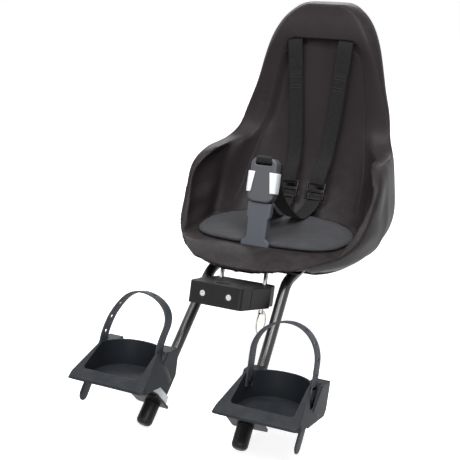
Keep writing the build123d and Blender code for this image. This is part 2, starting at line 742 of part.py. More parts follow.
for name, side in sides:
    tray_plane = Plane(origin=(side * tray_centre, tray_at, tray_floor), x_dir=(1, 0, 0),
                       z_dir=(0, toe_sine, toe_cosine))
    skirt_plane = Plane(origin=(side * (tray_centre - skirt_shift), tray_at, tray_floor), x_dir=(1, 0, 0),
                        z_dir=tray_plane.z_dir)
    profile_plane = Plane(origin=tray_plane.origin, x_dir=tray_plane.y_dir, z_dir=(1, 0, 0))
    strap_joint = (side * (tray_centre + strap_out), foot_strap_at, foot_strap_height)
    arch_plane = Plane(origin=(side * (tray_centre + strap_out - strap_radius), foot_strap_at, foot_strap_height),
                       x_dir=(1, 0, 0), z_dir=(0, -strap_cosine, strap_sine))
    tail_plane = Plane(origin=strap_joint, x_dir=(0, -tail_sine, -tail_cosine), z_dir=(side, 0, 0))
    leg_plane = Plane(origin=strap_joint, x_dir=(0, strap_sine, strap_cosine), z_dir=(side, 0, 0))

    with BuildPart() as outer_channel:
        with BuildSketch(sleeve_plane(side, True, sleeve_foot)):
            with Locations((0, (sleeve_behind - sleeve_ahead) / 2)):
                RectangleRounded(2 * sleeve_half, sleeve_depth, sleeve_corner)
        extrude(amount=sleeve_length)
        split(bisect_by=tray_plane.offset(-channel_drop), keep=Keep.TOP)

    with BuildPart() as foot_tray:
        with BuildSketch(skirt_plane):
            tray_outline(skirt_half, skirt_front, skirt_heel, skirt_corner, cup_heel_corner)
        with BuildSketch(tray_plane.offset(tray_height)):
            tray_outline(rim_half, cup_front + tray_wall, cup_heel + tray_wall, skirt_corner,
                         cup_heel_corner + tray_wall)
        loft()
        with BuildSketch(sleeve_plane(side, False, sleeve_foot)):
            with Locations((0, (sleeve_behind - sleeve_ahead) / 2)):
                RectangleRounded(2 * sleeve_half, sleeve_depth, sleeve_corner)
        extrude(amount=sleeve_length)
        add(outer_channel.part)
        with BuildSketch(profile_plane):
            with BuildLine():
                Polyline((-2 * skirt_front, skirt_edge), (-skirt_front, skirt_edge), (-cup_front, tray_lip),
                         (tray_rise_from, tray_height), (channel_rear, tray_height), (channel_rear, 0),
                         (2 * channel_rear, 0), (2 * channel_rear, 2 * sleeve_length),
                         (-2 * skirt_front, 2 * sleeve_length), close=True)
            make_face()
        extrude(amount=2 * skirt_half, both=True, mode=Mode.SUBTRACT)
        with BuildSketch(tray_plane.offset(tray_wall)):
            tray_outline(cup_half, cup_front, cup_heel, cup_front_corner, cup_heel_corner)
        extrude(amount=tray_height, mode=Mode.SUBTRACT)
        for outer in (False, True):
            with BuildSketch(sleeve_plane(side, outer, 0)):
                Circle(tube_radius + sleeve_clearance)
            extrude(amount=2 * sleeve_length, mode=Mode.SUBTRACT)
        with BuildSketch(tail_plane.offset(-foot_strap_clearance - foot_strap_thickness / 2)):
            Rectangle(2 * foot_strap_tail, strap_slot)
        extrude(amount=channel_slot, mode=Mode.SUBTRACT)
        with BuildSketch(leg_plane.offset(-foot_strap_clearance - foot_strap_thickness / 2)):
            with Locations((foot_strap_rise / 2, 0)):
                Rectangle(foot_strap_rise, strap_slot)
        extrude(amount=channel_slot, mode=Mode.SUBTRACT)
        with BuildSketch(leg_plane.offset(-strap_out - cup_half)):
            Rectangle(2 * (foot_strap_clearance - foot_strap_root), strap_slot)
        extrude(amount=channel_slot, mode=Mode.SUBTRACT)
        lock_plane = Plane(origin=sleeve_plane(side, False, sleeve_foot + lock_rise + lock_height / 2).origin,
                           x_dir=(0, -leg_up.Z, leg_up.Y), z_dir=(-side, 0, 0))
        with BuildSketch(lock_plane.offset(sleeve_half - lock_depth - lock_clearance)):
            with Locations(((sleeve_ahead - sleeve_behind) / 2, 0)):
                Rectangle(lock_width + 2 * lock_clearance, lock_height + 2 * lock_clearance)
        extrude(amount=2 * lock_thickness, mode=Mode.SUBTRACT)
    save(foot_tray, "foot_tray_" + name)

    with BuildPart() as tray_lock:
        with BuildSketch(lock_plane.offset(sleeve_half - lock_depth)):
            with Locations(((sleeve_ahead - sleeve_behind) / 2, 0)):
                RectangleRounded(lock_width, lock_height, lock_edge)
        extrude(amount=lock_thickness)
        fillet(faces().sort_by(Axis.X)[0 if side > 0 else -1].edges(), lock_edge / 2)
    save(tray_lock, "tray_lock_" + name)

    with BuildPart() as lock_plate:
        with BuildSketch(sleeve_plane(side, False, plate_foot)):
            with Locations((side * (plate_outboard - plate_inboard) / 2, (plate_behind - plate_ahead) / 2)):
                RectangleRounded(plate_outboard + plate_inboard, plate_ahead + plate_behind, sleeve_corner)
            Circle(tube_radius + sleeve_clearance, mode=Mode.SUBTRACT)
        extrude(amount=lock_plate_thickness)
    save(lock_plate, "lock_plate_" + name)

    with BuildPart() as foot_strap:
        with BuildSketch(arch_plane):
            with BuildLine():
                Line((side * strap_radius, 0), (side * strap_radius, strap_straight))
                ThreePointArc((side * strap_radius, strap_straight), (0, foot_strap_rise),
                              (-side * strap_radius, strap_straight))
                Line((-side * strap_radius, strap_straight), (-side * strap_radius, foot_strap_root))
            trace(line_width=foot_strap_thickness)
        extrude(amount=foot_strap_width / 2, both=True)
        with BuildSketch(tail_plane):
            with Locations((foot_strap_tail / 2, 0)):
                SlotCenterToCenter(foot_strap_tail - foot_strap_width / 2, foot_strap_width)
        extrude(amount=foot_strap_thickness / 2, both=True)
        with BuildSketch(tail_plane):
            with Locations((stud_low, 0)):
                Circle(stud_radius + foot_strap_clearance)
        extrude(amount=foot_strap_thickness, both=True, mode=Mode.SUBTRACT)
        inner_stud = arch_plane.from_local_coords((-side * strap_radius, stud_in, 0))
        with BuildSketch(Plane(origin=inner_stud, z_dir=(side, 0, 0))):
            Circle(stud_radius + foot_strap_clearance)
        extrude(amount=foot_strap_thickness, both=True, mode=Mode.SUBTRACT)
        for index in range(strap_holes):
            travel = strap_hole_start + index * strap_hole_pitch
            swing = max(0, travel - strap_straight) / strap_radius
            level = min(travel, strap_straight)
            out = (side * math.cos(swing), math.sin(swing))
            spot = arch_plane.from_local_coords((out[0] * strap_radius, level + out[1] * strap_radius, 0))
            hole_plane = Plane(origin=spot, x_dir=arch_plane.z_dir,
                               z_dir=(out[0], out[1] * strap_sine, out[1] * strap_cosine))
            with BuildSketch(hole_plane):
                RegularPolygon(strap_hole_radius, 3)
            extrude(amount=foot_strap_thickness, both=True, mode=Mode.SUBTRACT)
    save(foot_strap, "foot_strap_" + name)

    with BuildPart() as strap_stud:
        outer_stud = tail_plane.from_local_coords((stud_low, 0, 0))
        for spot, wall in ((outer_stud, tray_centre + rim_half), (inner_stud, tray_centre - cup_half)):
            stud_plane = Plane(origin=(side * wall, spot.Y, spot.Z), z_dir=(side, 0, 0))
            with BuildSketch(stud_plane):
                Circle(stud_radius)
            extrude(amount=stud_reach)
            with BuildSketch(stud_plane.offset(stud_reach)):
                Circle(stud_head_radius)
            extrude(amount=stud_head)
    save(strap_stud, "strap_stud_" + name)
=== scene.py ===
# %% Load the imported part
import json
import math
import bpy
from mathutils import Matrix, Vector


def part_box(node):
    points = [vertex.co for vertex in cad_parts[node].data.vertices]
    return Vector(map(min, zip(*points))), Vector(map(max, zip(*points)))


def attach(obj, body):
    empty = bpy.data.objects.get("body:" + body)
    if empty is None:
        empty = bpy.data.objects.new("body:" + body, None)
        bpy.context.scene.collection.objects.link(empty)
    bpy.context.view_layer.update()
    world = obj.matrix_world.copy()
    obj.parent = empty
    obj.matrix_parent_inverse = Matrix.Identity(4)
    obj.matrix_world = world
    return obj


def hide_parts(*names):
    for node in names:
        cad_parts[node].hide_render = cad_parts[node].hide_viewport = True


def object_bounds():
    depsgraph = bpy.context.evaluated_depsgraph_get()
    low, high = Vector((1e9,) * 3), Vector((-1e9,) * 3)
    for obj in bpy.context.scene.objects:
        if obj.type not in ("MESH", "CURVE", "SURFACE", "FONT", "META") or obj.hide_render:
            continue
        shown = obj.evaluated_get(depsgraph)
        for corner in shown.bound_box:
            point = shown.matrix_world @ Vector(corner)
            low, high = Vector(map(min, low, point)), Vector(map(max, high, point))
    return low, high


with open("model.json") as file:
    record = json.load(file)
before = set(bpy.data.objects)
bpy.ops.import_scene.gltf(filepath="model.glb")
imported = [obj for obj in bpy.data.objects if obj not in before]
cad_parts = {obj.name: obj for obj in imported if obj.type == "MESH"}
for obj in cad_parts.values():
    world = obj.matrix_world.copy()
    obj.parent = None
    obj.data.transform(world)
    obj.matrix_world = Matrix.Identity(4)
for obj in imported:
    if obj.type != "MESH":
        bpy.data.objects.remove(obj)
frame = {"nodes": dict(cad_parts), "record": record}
cad_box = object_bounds()
nodes = frame["nodes"]
slots = {row["node"]: row["material_slot"] for row in frame["record"]["subparts"]}
joints = frame["record"]["behaviour"]["joints"]
SIDES = (("left", 1), ("right", -1))
MM = 0.001
print("CAD nodes:", len(nodes), "material slots:", len(set(slots.values())))

# %% [markdown]
# # Kids handlebar bike seat
# A moulded bucket for a small child hangs on the bicycle's stem, with two legs that carry foot trays.
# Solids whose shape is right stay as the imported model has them. This lesson gives them finishes, reshapes
# copies of the bucket, bracket plate, pins, stalk and buckle, and adds what a solid modeller makes poorly:
# a swollen foam pad, woven harness, stitching, rubber foot straps, pressed buttons and the moulded panel in
# the back. Lengths are in metres, or in millimetres where they are multiplied by MM, with the stem clamp at
# the origin.

# %% Small helpers for selecting and finishing
def deselect():
    if bpy.context.object and bpy.context.object.mode != "OBJECT":
        bpy.ops.object.mode_set(mode="OBJECT")
    bpy.ops.object.select_all(action="DESELECT")


def pick(piece):
    deselect()
    piece.select_set(True)
    bpy.context.view_layer.objects.active = piece


def apply_modifiers(piece):
    pick(piece)
    for name in [modifier.name for modifier in piece.modifiers]:
        bpy.ops.object.modifier_apply(modifier=name)


def edit(piece, *steps):
    pick(piece)
    bpy.ops.object.mode_set(mode="EDIT")
    for step in steps:
        step()
    bpy.ops.object.mode_set(mode="OBJECT")


def select_all():
    bpy.ops.mesh.select_all(action="SELECT")


def outward():
    select_all()
    bpy.ops.mesh.remove_doubles(threshold=1e-6)
    bpy.ops.mesh.normals_make_consistent(inside=False)


def settle(piece, body, slot, material=None, angle=35):
    """The piece's place goes into its mesh; it gets its slot's finish or another one, and its body."""
    pick(piece)
    bpy.ops.object.transform_apply(location=True, rotation=True, scale=True)
    bpy.ops.object.shade_smooth_by_angle(angle=math.radians(angle))
    piece.data.materials.clear()
    piece.data.materials.append(material or finishes[slot])
    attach(piece, body)
    piece.data.calc_loop_triangles()
    print(piece.name, "rides on", body, "-", len(piece.data.loop_triangles), "triangles")


deselect()
print("helpers ready")

# %% [markdown]
# ## Camera, floor and light
# A step back and a little above the seat, turned to the child's left. The lens is long, so the legs keep
# their slope. A pale floor catches the shadow, and large soft lamps give the wide, quiet highlights of dark
# plastic.

# %% Camera
camera_azimuth, camera_height = math.radians(24.7), math.radians(19.7)
camera_target, camera_distance = Vector((0, 0.0256, 0.0880)), 1.2775
toward_camera = Vector((math.sin(camera_azimuth) * math.cos(camera_height),
                        -math.cos(camera_azimuth) * math.cos(camera_height), math.sin(camera_height)))
bpy.ops.object.camera_add(location=camera_target + camera_distance * toward_camera)
camera = bpy.context.object
camera.name = "studio_camera"
camera.rotation_euler = (-toward_camera).to_track_quat("-Z", "Y").to_euler()
camera.data.lens, camera.data.sensor_width = 71.1, 36
bpy.context.scene.camera = camera
bpy.context.scene.view_settings.view_transform = "Standard"
print("camera at", [round(value, 3) for value in camera.location])

# %% Floor and lamps
floor_gap, floor_size = 0.0005, 14
floor_level = cad_box[0][2] - floor_gap
# Name, place, aim, size and power in watts.
lamps = (
    ("overhead_soft_light", (-0.45, -0.3, 1.9), (0, 0.1, 0.1), (1.0, 0.9), 21),
    ("key_soft_light", (1.0, -1.0, 1.8), (-0.05, 0.2, 0.1), (0.9, 0.9), 11),
    ("inside_soft_light", (0.45, -0.25, 1.15), (-0.12, 0.2, 0.08), (0.45, 0.45), 9),
    ("front_soft_light", (0.5, -2.2, 0.5), (0, 0.1, -0.05), (1.2, 0.8), 12),
    ("left_soft_light", (-2.0, -0.5, 0.9), (0, 0.1, 0.1), (0.8, 1.6), 3),
    ("rear_soft_light", (-0.7, 2.0, 1.4), (0, 0.2, 0.1), (1.6, 1.2), 20),
)
deselect()
bpy.ops.mesh.primitive_plane_add(size=floor_size, location=(0, 0, floor_level))
floor = bpy.context.object
floor.name = "studio_floor"
for name, place, aim, size, power in lamps:
    bpy.ops.object.light_add(type="AREA", location=place)
    light = bpy.context.object
    light.name = name
    light.data.shape = "RECTANGLE"
    light.data.size, light.data.size_y = size
    light.data.energy = power
    light.rotation_euler = (Vector(aim) - Vector(place)).to_track_quat("-Z", "Y").to_euler()
print("lamps:", len(lamps))

# %% [markdown]
# The world is white where the camera or a reflection looks at it, and a plain grey as light, so that the
# background stays white without more light on the seat. The floor is pale and keeps the shadow. A
# reflection sees it plain white.

# %% Helpers for shader nodes
def connect(tree, node, sockets):
    """Links a node's inputs, or sets their values."""
    for key, value in sockets.items():
        if isinstance(value, bpy.types.NodeSocket):
            tree.links.new(value, node.inputs[key])
        else:
            node.inputs[key].default_value = value


def add(tree, kind, sockets=None, **settings):
    made = tree.nodes.new(kind)
    for key, value in settings.items():
        setattr(made, key, value)
    connect(tree, made, sockets or {})
    return made


def calc(tree, operation, *values):
    """The result of a Math node."""
    return add(tree, "ShaderNodeMath", dict(enumerate(values)), operation=operation).outputs[0]


def remap(tree, value, low=0.0, high=1.0, to_low=0.0, to_high=1.0):
    """A value carried from one range to another."""
    ranges = {"From Min": low, "From Max": high, "To Min": to_low, "To Max": to_high}
    return add(tree, "ShaderNodeMapRange", {"Value": value, **ranges}).outputs[0]


def mix_shader(tree, share, first, second):
    return add(tree, "ShaderNodeMixShader", {0: share, 1: first, 2: second}).outputs[0]


def seen_rays(tree):
    """1 for a ray straight from the camera, and 1 for a ray through glass or in a reflection."""
    path = add(tree, "ShaderNodeLightPath").outputs
    return path["Is Camera Ray"], calc(tree, "MAXIMUM", path["Is Glossy Ray"], path["Is Transmission Ray"])


def new_finish(name):
    material = bpy.data.materials.new(name)
    material.use_nodes = True
    return material, material.node_tree, material.node_tree.nodes["Principled BSDF"]


print("node helpers ready")

# %% World and floor finish
WHITE = (1, 1, 1, 1)
world_light, world_tint = 0.15, (0.93, 0.95, 1.0, 1)
paper_low, paper_high, paper_glow = 0.86, 0.90, 0.80

world = bpy.data.worlds.new("studio_world")
world.use_nodes = True
bpy.context.scene.world = world
sky = world.node_tree
sky.nodes.clear()
straight, turned = seen_rays(sky)
soft = add(sky, "ShaderNodeBackground", {"Color": world_tint, "Strength": world_light})
white = add(sky, "ShaderNodeBackground", {"Color": WHITE, "Strength": 1.0})
both = mix_shader(sky, calc(sky, "MAXIMUM", straight, turned), soft.outputs[0], white.outputs[0])
add(sky, "ShaderNodeOutputWorld", {"Surface": both})

floor_finish, paper, paper_shader = new_finish("studio_floor_paper")
paper_grain = add(paper, "ShaderNodeTexNoise", {"Scale": 40.0, "Detail": 3.0})
paper_level = remap(paper, paper_grain.outputs["Fac"], to_low=paper_low, to_high=paper_high)
paper_tone = add(paper, "ShaderNodeCombineColor", dict.fromkeys(("Red", "Green", "Blue"), paper_level))
connect(paper, paper_shader, {"Base Color": paper_tone.outputs[0], "Roughness": 0.9})
straight, turned = seen_rays(paper)
glow = add(paper, "ShaderNodeEmission", {"Color": WHITE, "Strength": paper_glow})
lit = add(paper, "ShaderNodeAddShader", {0: paper_shader.outputs[0], 1: glow.outputs[0]})
plain = add(paper, "ShaderNodeEmission", {"Color": WHITE, "Strength": 1.0})
by_camera = mix_shader(paper, straight, paper_shader.outputs[0], lit.outputs[0])
by_ray = mix_shader(paper, turned, by_camera, plain.outputs[0])
connect(paper, paper.nodes["Material Output"], {"Surface": by_ray})
floor.data.materials.append(floor_finish)
print("floor at", round(floor_level, 4))

# %% [markdown]
# ## Shared effects
# Moulded plastic, rubber and foam all have a fine grain, soft moulding marks, worn edges and a little dust,
# so these are three node groups that every finish uses with its own values. A bevel in the shading rounds
# the crisp edges of the solids that keep their CAD shape.

# %% Node group for grain
FLOAT, COLOUR, VECTOR = "NodeSocketFloat", "NodeSocketColor", "NodeSocketVector"
PLAIN_GREY = ("Colour", COLOUR, (0.1, 0.1, 0.1, 1))


def new_group(name, inputs, outputs):
    group = bpy.data.node_groups.new(name, "ShaderNodeTree")
    for label, kind, value in inputs:
        group.interface.new_socket(name=label, in_out="INPUT", socket_type=kind).default_value = value
    for label, kind in outputs:
        group.interface.new_socket(name=label, in_out="OUTPUT", socket_type=kind)
    return group, group.nodes.new("NodeGroupInput").outputs, group.nodes.new("NodeGroupOutput")


def object_place(tree):
    return add(tree, "ShaderNodeTexCoord").outputs["Object"]


def noise(tree, scale, detail, **more):
    sockets = {"Vector": object_place(tree), "Scale": scale, "Detail": detail, **more}
    return add(tree, "ShaderNodeTexNoise", sockets).outputs["Fac"]


grain_group, given, out = new_group(
    "moulded_grain",
    [PLAIN_GREY, ("Grain Scale", FLOAT, 900.0), ("Mottle", FLOAT, 0.25), ("Roughness", FLOAT, 0.5)],
    [("Colour", COLOUR), ("Roughness", FLOAT), ("Height", FLOAT)])
pebbles = add(grain_group, "ShaderNodeTexVoronoi", {"Vector": object_place(grain_group),
                                                    "Scale": given["Grain Scale"]})
speckle = noise(grain_group, given["Grain Scale"], 2.0)
flow = noise(grain_group, 11.0, 4.0, Distortion=0.6)
height = calc(grain_group, "ADD", pebbles.outputs["Distance"], speckle)
tone = calc(grain_group, "SUBTRACT", flow, 0.5)
spread = calc(grain_group, "MULTIPLY_ADD", tone, given["Mottle"], 1.0)
fleck = remap(grain_group, speckle, 0.3, 0.7, 0.93, 1.07)
level = calc(grain_group, "MULTIPLY", spread, fleck)
tinted = add(grain_group, "ShaderNodeVectorMath", {0: given["Colour"], "Scale": level}, operation="SCALE")
rough_wide = calc(grain_group, "MULTIPLY_ADD", tone, 0.22, given["Roughness"])
rough_fine = calc(grain_group, "MULTIPLY_ADD", speckle, 0.10, rough_wide)
connect(grain_group, out, {"Colour": tinted.outputs[0], "Roughness": rough_fine, "Height": height})
print("node group:", grain_group.name)

# %% Node group for worn edges
# A Mix node's colour sockets share their names with others, so they go by place.
MIX_FIRST, MIX_SECOND, MIX_RESULT = 6, 7, 2


def mix_colour(tree, share, first, second):
    sockets = {"Factor": share, MIX_FIRST: first, MIX_SECOND: second}
    return add(tree, "ShaderNodeMix", sockets, data_type="RGBA").outputs[MIX_RESULT]


edge_group, given, out = new_group(
    "worn_edge",
    [PLAIN_GREY, ("Worn Colour", COLOUR, (0.3, 0.3, 0.3, 1)), ("Radius", FLOAT, 0.001),
     ("Amount", FLOAT, 0.5)],
    [("Colour", COLOUR), ("Normal", VECTOR)])
rounded = add(edge_group, "ShaderNodeBevel", {"Radius": given["Radius"]}, samples=6).outputs[0]
facing = add(edge_group, "ShaderNodeNewGeometry").outputs["Normal"]
turn = add(edge_group, "ShaderNodeVectorMath", {0: rounded, 1: facing}, operation="DOT_PRODUCT")
rub = noise(edge_group, 120.0, 5.0, Roughness=0.7)
edge = remap(edge_group, turn.outputs["Value"], 0.995, 0.80)
patchy = remap(edge_group, rub, 0.38, 0.62, 0.25, 1.0)
worn = calc(edge_group, "MULTIPLY", calc(edge_group, "MULTIPLY", edge, patchy), given["Amount"])
rubbed = mix_colour(edge_group, worn, given["Colour"], given["Worn Colour"])
connect(edge_group, out, {"Colour": rubbed, "Normal": rounded})
print("node group:", edge_group.name)

# %% Node group for dust
dust_colour = (0.32, 0.30, 0.28, 1)
dust_group, given, out = new_group(
    "settled_dust", [PLAIN_GREY, ("Roughness", FLOAT, 0.5), ("Amount", FLOAT, 0.1)],
    [("Colour", COLOUR), ("Roughness", FLOAT)])
up = add(dust_group, "ShaderNodeSeparateXYZ", {0: add(dust_group, "ShaderNodeNewGeometry").outputs["Normal"]})
cloud = noise(dust_group, 60.0, 6.0, Roughness=0.65)
flat = remap(dust_group, up.outputs["Z"], 0.2, 1.0)
drift = remap(dust_group, cloud, 0.4, 0.75)
share = calc(dust_group, "MULTIPLY", calc(dust_group, "MULTIPLY", flat, drift), given["Amount"])
greyed = mix_colour(dust_group, share, given["Colour"], dust_colour)
dry = calc(dust_group, "MULTIPLY_ADD", share, 0.6, given["Roughness"])
connect(dust_group, out, {"Colour": greyed, "Roughness": dry})
print("node group:", dust_group.name)

# %% [markdown]
# ## Finishes
# Each finish is one Principled shader. Its colour passes through worn edges, then grain, then dust, and its
# bump sits on the rounded edge normal. The bucket is charcoal polypropylene with a fine sand texture; the
# trays and stalk are a bluer grey; tubes are satin black powder coat; pins and bolts are zinc plated. The
# stalk and the buckle differ a little from the trays, so they get their own grey.

# %% How a finish is built
bump_depth = 0.0003


def placed(tree, group, sockets):
    """The outputs of a node group that is placed in a material with its own values."""
    return add(tree, "ShaderNodeGroup", sockets, node_tree=group).outputs


def finish(name, colour, roughness, grain, mottle, bump, wear, radius=0.0012, worn=None, dust=0.06,
           **constants):
    material, tree, shader = new_finish(name)
    worn = worn or [min(1.0, value * 2.2 + 0.02) for value in colour]
    edges = placed(tree, edge_group, {"Colour": (*colour, 1), "Worn Colour": (*worn, 1), "Radius": radius,
                                      "Amount": wear})
    grains = placed(tree, grain_group, {"Colour": edges["Colour"], "Grain Scale": float(grain),
                                        "Mottle": mottle, "Roughness": roughness})
    dusty = placed(tree, dust_group, {"Colour": grains["Colour"], "Roughness": grains["Roughness"],
                                      "Amount": dust})
    raised = add(tree, "ShaderNodeBump", {"Strength": bump, "Distance": bump_depth,
                                          "Height": grains["Height"], "Normal": edges["Normal"]})
    connect(tree, shader, {"Base Color": dusty["Colour"], "Roughness": dusty["Roughness"],
                           "Normal": raised.outputs[0]})
    connect(tree, shader, {key.replace("_", " "): value for key, value in constants.items()})
    return material


print("bump depth", bump_depth, "m")

# %% Plastic, rubber, paint and foam
finishes = {
    "shell_plastic": finish("charcoal_shell_plastic", (0.0210, 0.0172, 0.0182), 0.36, grain=1500, mottle=0.22,
                            bump=0.10, radius=0.0015, wear=0.15, Specular_IOR_Level=0.10),
    "pad_foam": finish("grey_pad_foam", (0.036, 0.037, 0.042), 0.72, grain=1100, mottle=0.22, bump=0.35,
                       radius=0.0008, wear=0.2, Sheen_Weight=0.06, Specular_IOR_Level=0.3),
    "soft_grey_plastic": finish("blue_grey_tray_plastic", (0.0170, 0.0198, 0.0245), 0.38, grain=1400,
                                mottle=0.28, bump=0.10, wear=0.45, Specular_IOR_Level=0.16),
    "strap_rubber": finish("soft_strap_rubber", (0.036, 0.041, 0.050), 0.50, grain=1300, mottle=0.25,
                           bump=0.10, radius=0.0006, wear=0.4, Specular_IOR_Level=0.3),
    "pale_plastic": finish("pale_button_plastic", (0.75, 0.77, 0.79), 0.34, grain=1200, mottle=0.06,
                           bump=0.05, radius=0.0008, wear=0.25, worn=(0.81, 0.82, 0.83), dust=0.03),
    "black_plastic": finish("black_clamp_plastic", (0.010, 0.009, 0.0092), 0.36, grain=1300, mottle=0.3,
                            bump=0.08, radius=0.0010, wear=0.45, Specular_IOR_Level=0.22),
    "liner_rubber": finish("liner_rubber", (0.014, 0.014, 0.014), 0.7, grain=1000, mottle=0.3, bump=0.2,
                           wear=0.2),
    "tube_paint": finish("black_powder_coat", (0.012, 0.011, 0.011), 0.26, grain=1700, mottle=0.25, bump=0.07,
                         radius=0.0006, wear=0.4, Coat_Weight=0.20, Coat_Roughness=0.18),
    "zinc_steel": finish("zinc_plated_steel", (0.70, 0.69, 0.67), 0.26, grain=700, mottle=0.35, bump=0.08,
                         radius=0.0004, wear=0.3, worn=(0.85, 0.84, 0.82), dust=0.02, Metallic=1.0),
    "ring_brass": finish("nickel_brass_ring", (0.60, 0.54, 0.42), 0.24, grain=800, mottle=0.4, bump=0.06,
                         radius=0.0003, wear=0.3, worn=(0.72, 0.66, 0.52), dust=0.02, Metallic=1.0),
}
buckle_finish = finish("dark_buckle_plastic", (0.060, 0.063, 0.069), 0.40, grain=1300, mottle=0.2, bump=0.08,
                       wear=0.5)
stalk_finish = finish("blue_grey_stalk_plastic", (0.058, 0.066, 0.078), 0.46, grain=1300, mottle=0.25,
                      bump=0.10, radius=0.0016, wear=0.4)
thread_finish = finish("charcoal_thread", (0.045, 0.045, 0.048), 0.8, grain=2500, mottle=0.3, bump=0.3,
                       radius=0.0001, wear=0.1)
print("finishes:", [material.name for material in bpy.data.materials])

# %% [markdown]
# Harness webbing is woven polyester: fine warp ribs run along it and the picks cross them in a shallow
# herringbone. The pattern reads the strap's own UV map, laid out in metres, so the weave follows every
# bend. Its colour is darker in the dips and lighter on the raised crossings: painted shade and painted
# highlight that follow the relief.

# %% Woven webbing finish
rib_pitch, warp_share, herringbone_slant = 0.0013, 1.3, 0.7
weave_group, given, out = new_group(
    "webbing_weave", [("Colour", COLOUR, (0.02, 0.02, 0.02, 1)), ("Rib Pitch", FLOAT, rib_pitch)],
    [("Colour", COLOUR), ("Roughness", FLOAT), ("Height", FLOAT)])


def ridge(along, pitch_share):
    pitch = calc(weave_group, "MULTIPLY", given["Rib Pitch"], pitch_share / (2 * math.pi))
    return remap(weave_group, calc(weave_group, "SINE", calc(weave_group, "DIVIDE", along, pitch)), low=-1.0)


lay = add(weave_group, "ShaderNodeSeparateXYZ", {0: add(weave_group, "ShaderNodeUVMap").outputs[0]}).outputs
across_web = calc(weave_group, "ABSOLUTE", lay["X"])
picks = ridge(calc(weave_group, "MULTIPLY_ADD", across_web, herringbone_slant, lay["Y"]), 1.0)
warps = ridge(lay["X"], warp_share)
crossed = calc(weave_group, "MULTIPLY", picks, warps)
fuzz = noise(weave_group, 240.0, 5.0)
# Painted shade and painted highlight: the colour is darker in the dips of the weave and lighter on its raised
# crossings, following the same height as the bump.
rib_shade_and_highlight = remap(weave_group, crossed, to_low=0.65, to_high=1.5)
faded = remap(weave_group, fuzz, 0.3, 0.7, 0.8, 1.25)
tone = calc(weave_group, "MULTIPLY", rib_shade_and_highlight, faded)
weave_colour_with_painted_light = add(weave_group, "ShaderNodeVectorMath", {0: given["Colour"], "Scale": tone}, operation="SCALE")
dry = remap(weave_group, tone, 0.0, 1.8, 0.9, 0.6)
connect(weave_group, out, {"Colour": weave_colour_with_painted_light.outputs[0], "Roughness": dry, "Height": crossed})

finishes["webbing"], tree, shader = new_finish("black_webbing")
weave = placed(tree, weave_group, {"Colour": (0.0095, 0.0095, 0.0105, 1), "Rib Pitch": rib_pitch})
raised = add(tree, "ShaderNodeBump", {"Strength": 0.5, "Distance": bump_depth, "Height": weave["Height"]})
connect(tree, shader, {"Base Color": weave["Colour"], "Roughness": weave["Roughness"],
                       "Normal": raised.outputs[0], "Sheen Weight": 0.05, "Specular IOR Level": 0.2})
print("webbing finish ready")

# %% [markdown]
# ## Finishes on the CAD nodes
# A node whose shape is right stays, and only its material slots change.

# %% Put the finishes on the CAD nodes
for name, node in nodes.items():
    node.data.materials.clear()
    node.data.materials.append(finishes[slots[name]])
print("finished CAD nodes:", len(nodes))

# %% [markdown]
# ## Bucket
# The bucket is one blow-moulded shell, so none of its edges is sharp: the rim rolls over and the front lip
# turns under. The solid has crisp edges and thick walls there. A copy of it is remeshed into even cells and
# moved to the softer line of the real moulding: the side walls flare out to a narrow rim, the rear flanks
# are tucked in, the floor and the front lip rise, and the lip rolls over. Smoothing then rounds every edge
# by a few millimetres.

# %% Even copies and smooth lines
def copy_of(source, name):
    """A new object with a copy of another one's mesh."""
    made = bpy.data.objects.new(name, source.data.copy())
    bpy.context.scene.collection.objects.link(made)
    return made


def even_copy(name, node, cell):
    """A copy of a CAD node, remeshed into even cells."""
    made = copy_of(nodes[node], name)
    edit(made, outward)
    cells = made.modifiers.new("even_cells", "REMESH")
    cells.mode, cells.voxel_size = "VOXEL", cell
    apply_modifiers(made)
    return made


def smooth(piece, rounds, group=""):
    relaxed = piece.modifiers.new("relaxed", "SMOOTH")
    relaxed.factor, relaxed.iterations, relaxed.vertex_group = 0.5, rounds, group


def ease(value, low, high):
    """0 at low, 1 at high, smooth between them."""
    share = min(max((value - low) / (high - low), 0.0), 1.0)
    return share * share * (3 - 2 * share)


def read_line(line, value):
    """The second number of a line's points at a value of the first, straight between the points."""
    for (low, first), (high, second) in zip(line, line[1:]):
        if value <= high:
            return first + (second - first) * max(0.0, value - low) / (high - low)
    return line[-1][1]


print("copies and lines ready")

# %% The line of the real bucket
floor_rise, lip_rise, lip_fade = 6.0, 10.0, 0.35
tuck_depth, swell_depth, under_rise, lip_roll = 14.0, 3.5, 7.0, 12.0
# Half widths outside, in the hollow and at the thin rim. The outside narrows to the front.
outside_half, hollow_half, thin_half = 165.0, 131.0, 140.0
widest_at, narrowing, narrowing_run = 270.0, 23.0, 120.0
# Where the side wall begins at a height: its front and top edge, as (z, y).
rim_line = [(25, 135), (45, 160), (60, 168), (80, 192), (100, 205), (120, 228), (138, 275), (150, 320)]


def front_lift(x, y):
    """How far the bucket floor is raised and its front turns up, in millimetres."""
    lip = lip_rise * ease(y, 200, 70) * (1 - lip_fade * ease(abs(x), 40, 95))
    return floor_rise * ease(y, 345, 300) + lip


def flare(x, y, z):
    """How far a point of the side wall moves out, so that the wall thins to a narrow rim."""
    outside = outside_half - narrowing * (max(0.0, widest_at - y) / narrowing_run) ** 2
    share = min(max((abs(x) - hollow_half) / max(outside - hollow_half, 1.0), 0.0), 1.0)
    near_rim = ease(y - read_line(rim_line, z), 75, 5) * ease(z, 24, 40) * ease(z, 150, 95)
    return max(0.0, outside - thin_half) * (1 - share) * near_rim * ease(abs(x), 108, 130)


